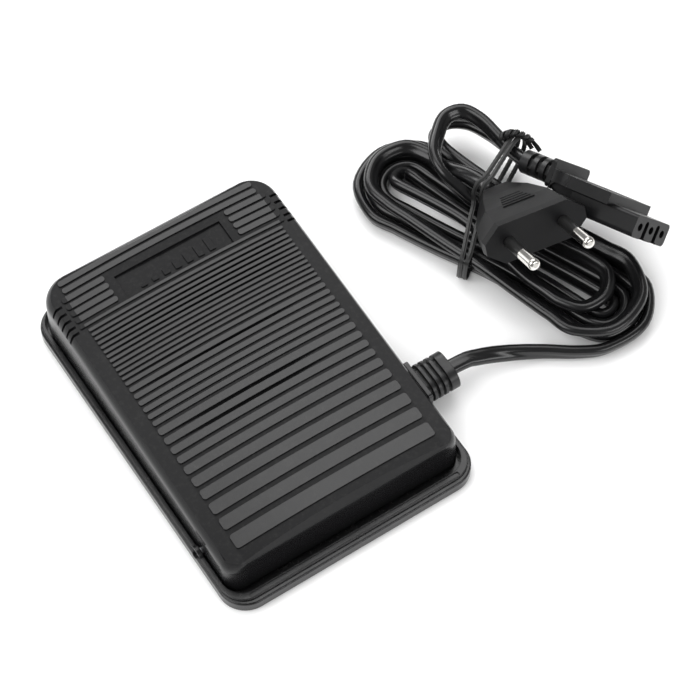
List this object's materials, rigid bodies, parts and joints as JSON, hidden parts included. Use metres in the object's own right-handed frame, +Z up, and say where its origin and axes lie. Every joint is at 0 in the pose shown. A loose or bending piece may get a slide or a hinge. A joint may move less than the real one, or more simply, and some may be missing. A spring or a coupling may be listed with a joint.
{
  "type": "sewing machine foot control",
  "caption": "Ribbed treadle on a shallow base tray, its flat cord tied in a hank that ends in a two-pin mains plug and a machine connector.",
  "frame": {"origin": "centre of the base tray's flat underside; the rubber feet reach 0.6 mm below it", "axes": "+Z up; +Y towards the toe end, the high end that goes down; +X towards the side where the cord leaves"},
  "size_m": [0.1872, 0.1256, 0.0423],
  "materials": {
    "black_abs": "fine grain, satin",
    "grey_rubber": "matt",
    "steel": "drawn rod",
    "white_acetal": "satin",
    "board_laminate": "phenolic laminate",
    "zinc_screw": "zinc plated",
    "grey_plastic": "satin",
    "aluminium": "milled",
    "epoxy_black": "moulded epoxy",
    "capacitor_yellow": "gloss",
    "ferrite": "coated ferrite",
    "copper": "enamelled wire",
    "resistor_tan": "lacquer",
    "terminal_green": "satin",
    "spring_steel": "drawn wire",
    "soft_pvc": "soft, slightly glossy",
    "wire_pvc": "thin insulation",
    "cord_pvc": "soft, glossy",
    "nickel": "nickel plated",
    "black_gloss": "moulded",
    "contact_brass": "tinned socket",
    "tie_plastic": "thin film"
  },
  "bodies": {
    "base": {"base_tray": "black_abs", "rubber_feet": "grey_rubber", "hinge_axle": "steel", "axle_clips": "steel", "lever_pin": "steel", "circuit_board": "board_laminate", "board_screws": "zinc_screw", "slide_pot": "grey_plastic", "heat_sink": "aluminium", "triac": "epoxy_black", "sink_screw": "zinc_screw", "film_capacitor": "capacitor_yellow", "choke_core": "ferrite", "choke_winding": "copper", "resistors": "resistor_tan", "terminal_block": "terminal_green", "terminal_screws": "zinc_screw", "return_springs": "spring_steel", "stop_bumper": "grey_rubber", "cord_clamp": "grey_plastic", "clamp_screws": "zinc_screw", "cord_bushing": "soft_pvc", "core_wires": "wire_pvc", "pedal_cord": "cord_pvc", "mains_cord": "cord_pvc", "plug_body": "soft_pvc", "plug_pins": "nickel", "pin_sleeves": "black_gloss", "connector_body": "black_gloss", "connector_contacts": "contact_brass", "connector_relief": "soft_pvc", "twist_tie": "tie_plastic"},
    "treadle": {"treadle": "black_abs"},
    "speed_lever": {"speed_lever": "white_acetal"},
    "wiper": {"wiper_slide": "white_acetal"}
  },
  "joints": [
    {"name": "treadle_press", "type": "hinge", "parent": "base", "child": "treadle", "pos_m": [0, -0.0388, 0.004], "axis": [-1, 0, 0], "range_deg": [0, 2], "stiffness_Nm_per_rad": 16, "springref_deg": -3.44, "deforming": ["return_springs"]},
    {"name": "lever_turn", "type": "hinge", "parent": "base", "child": "speed_lever", "pos_m": [0.012, 0.036, 0.0069], "axis": [-1, 0, 0], "range_deg": [0, 18.4]},
    {"name": "wiper_travel", "type": "slide", "parent": "base", "child": "wiper", "axis": [0, 1, 0], "range_m": [0, 0.00256]}
  ],
  "couplings": [
    {"joint": "lever_turn", "follows": "treadle_press", "ratio": 9.15},
    {"joint": "wiper_travel", "follows": "treadle_press", "m_per_rad": 0.07196}
  ]
}
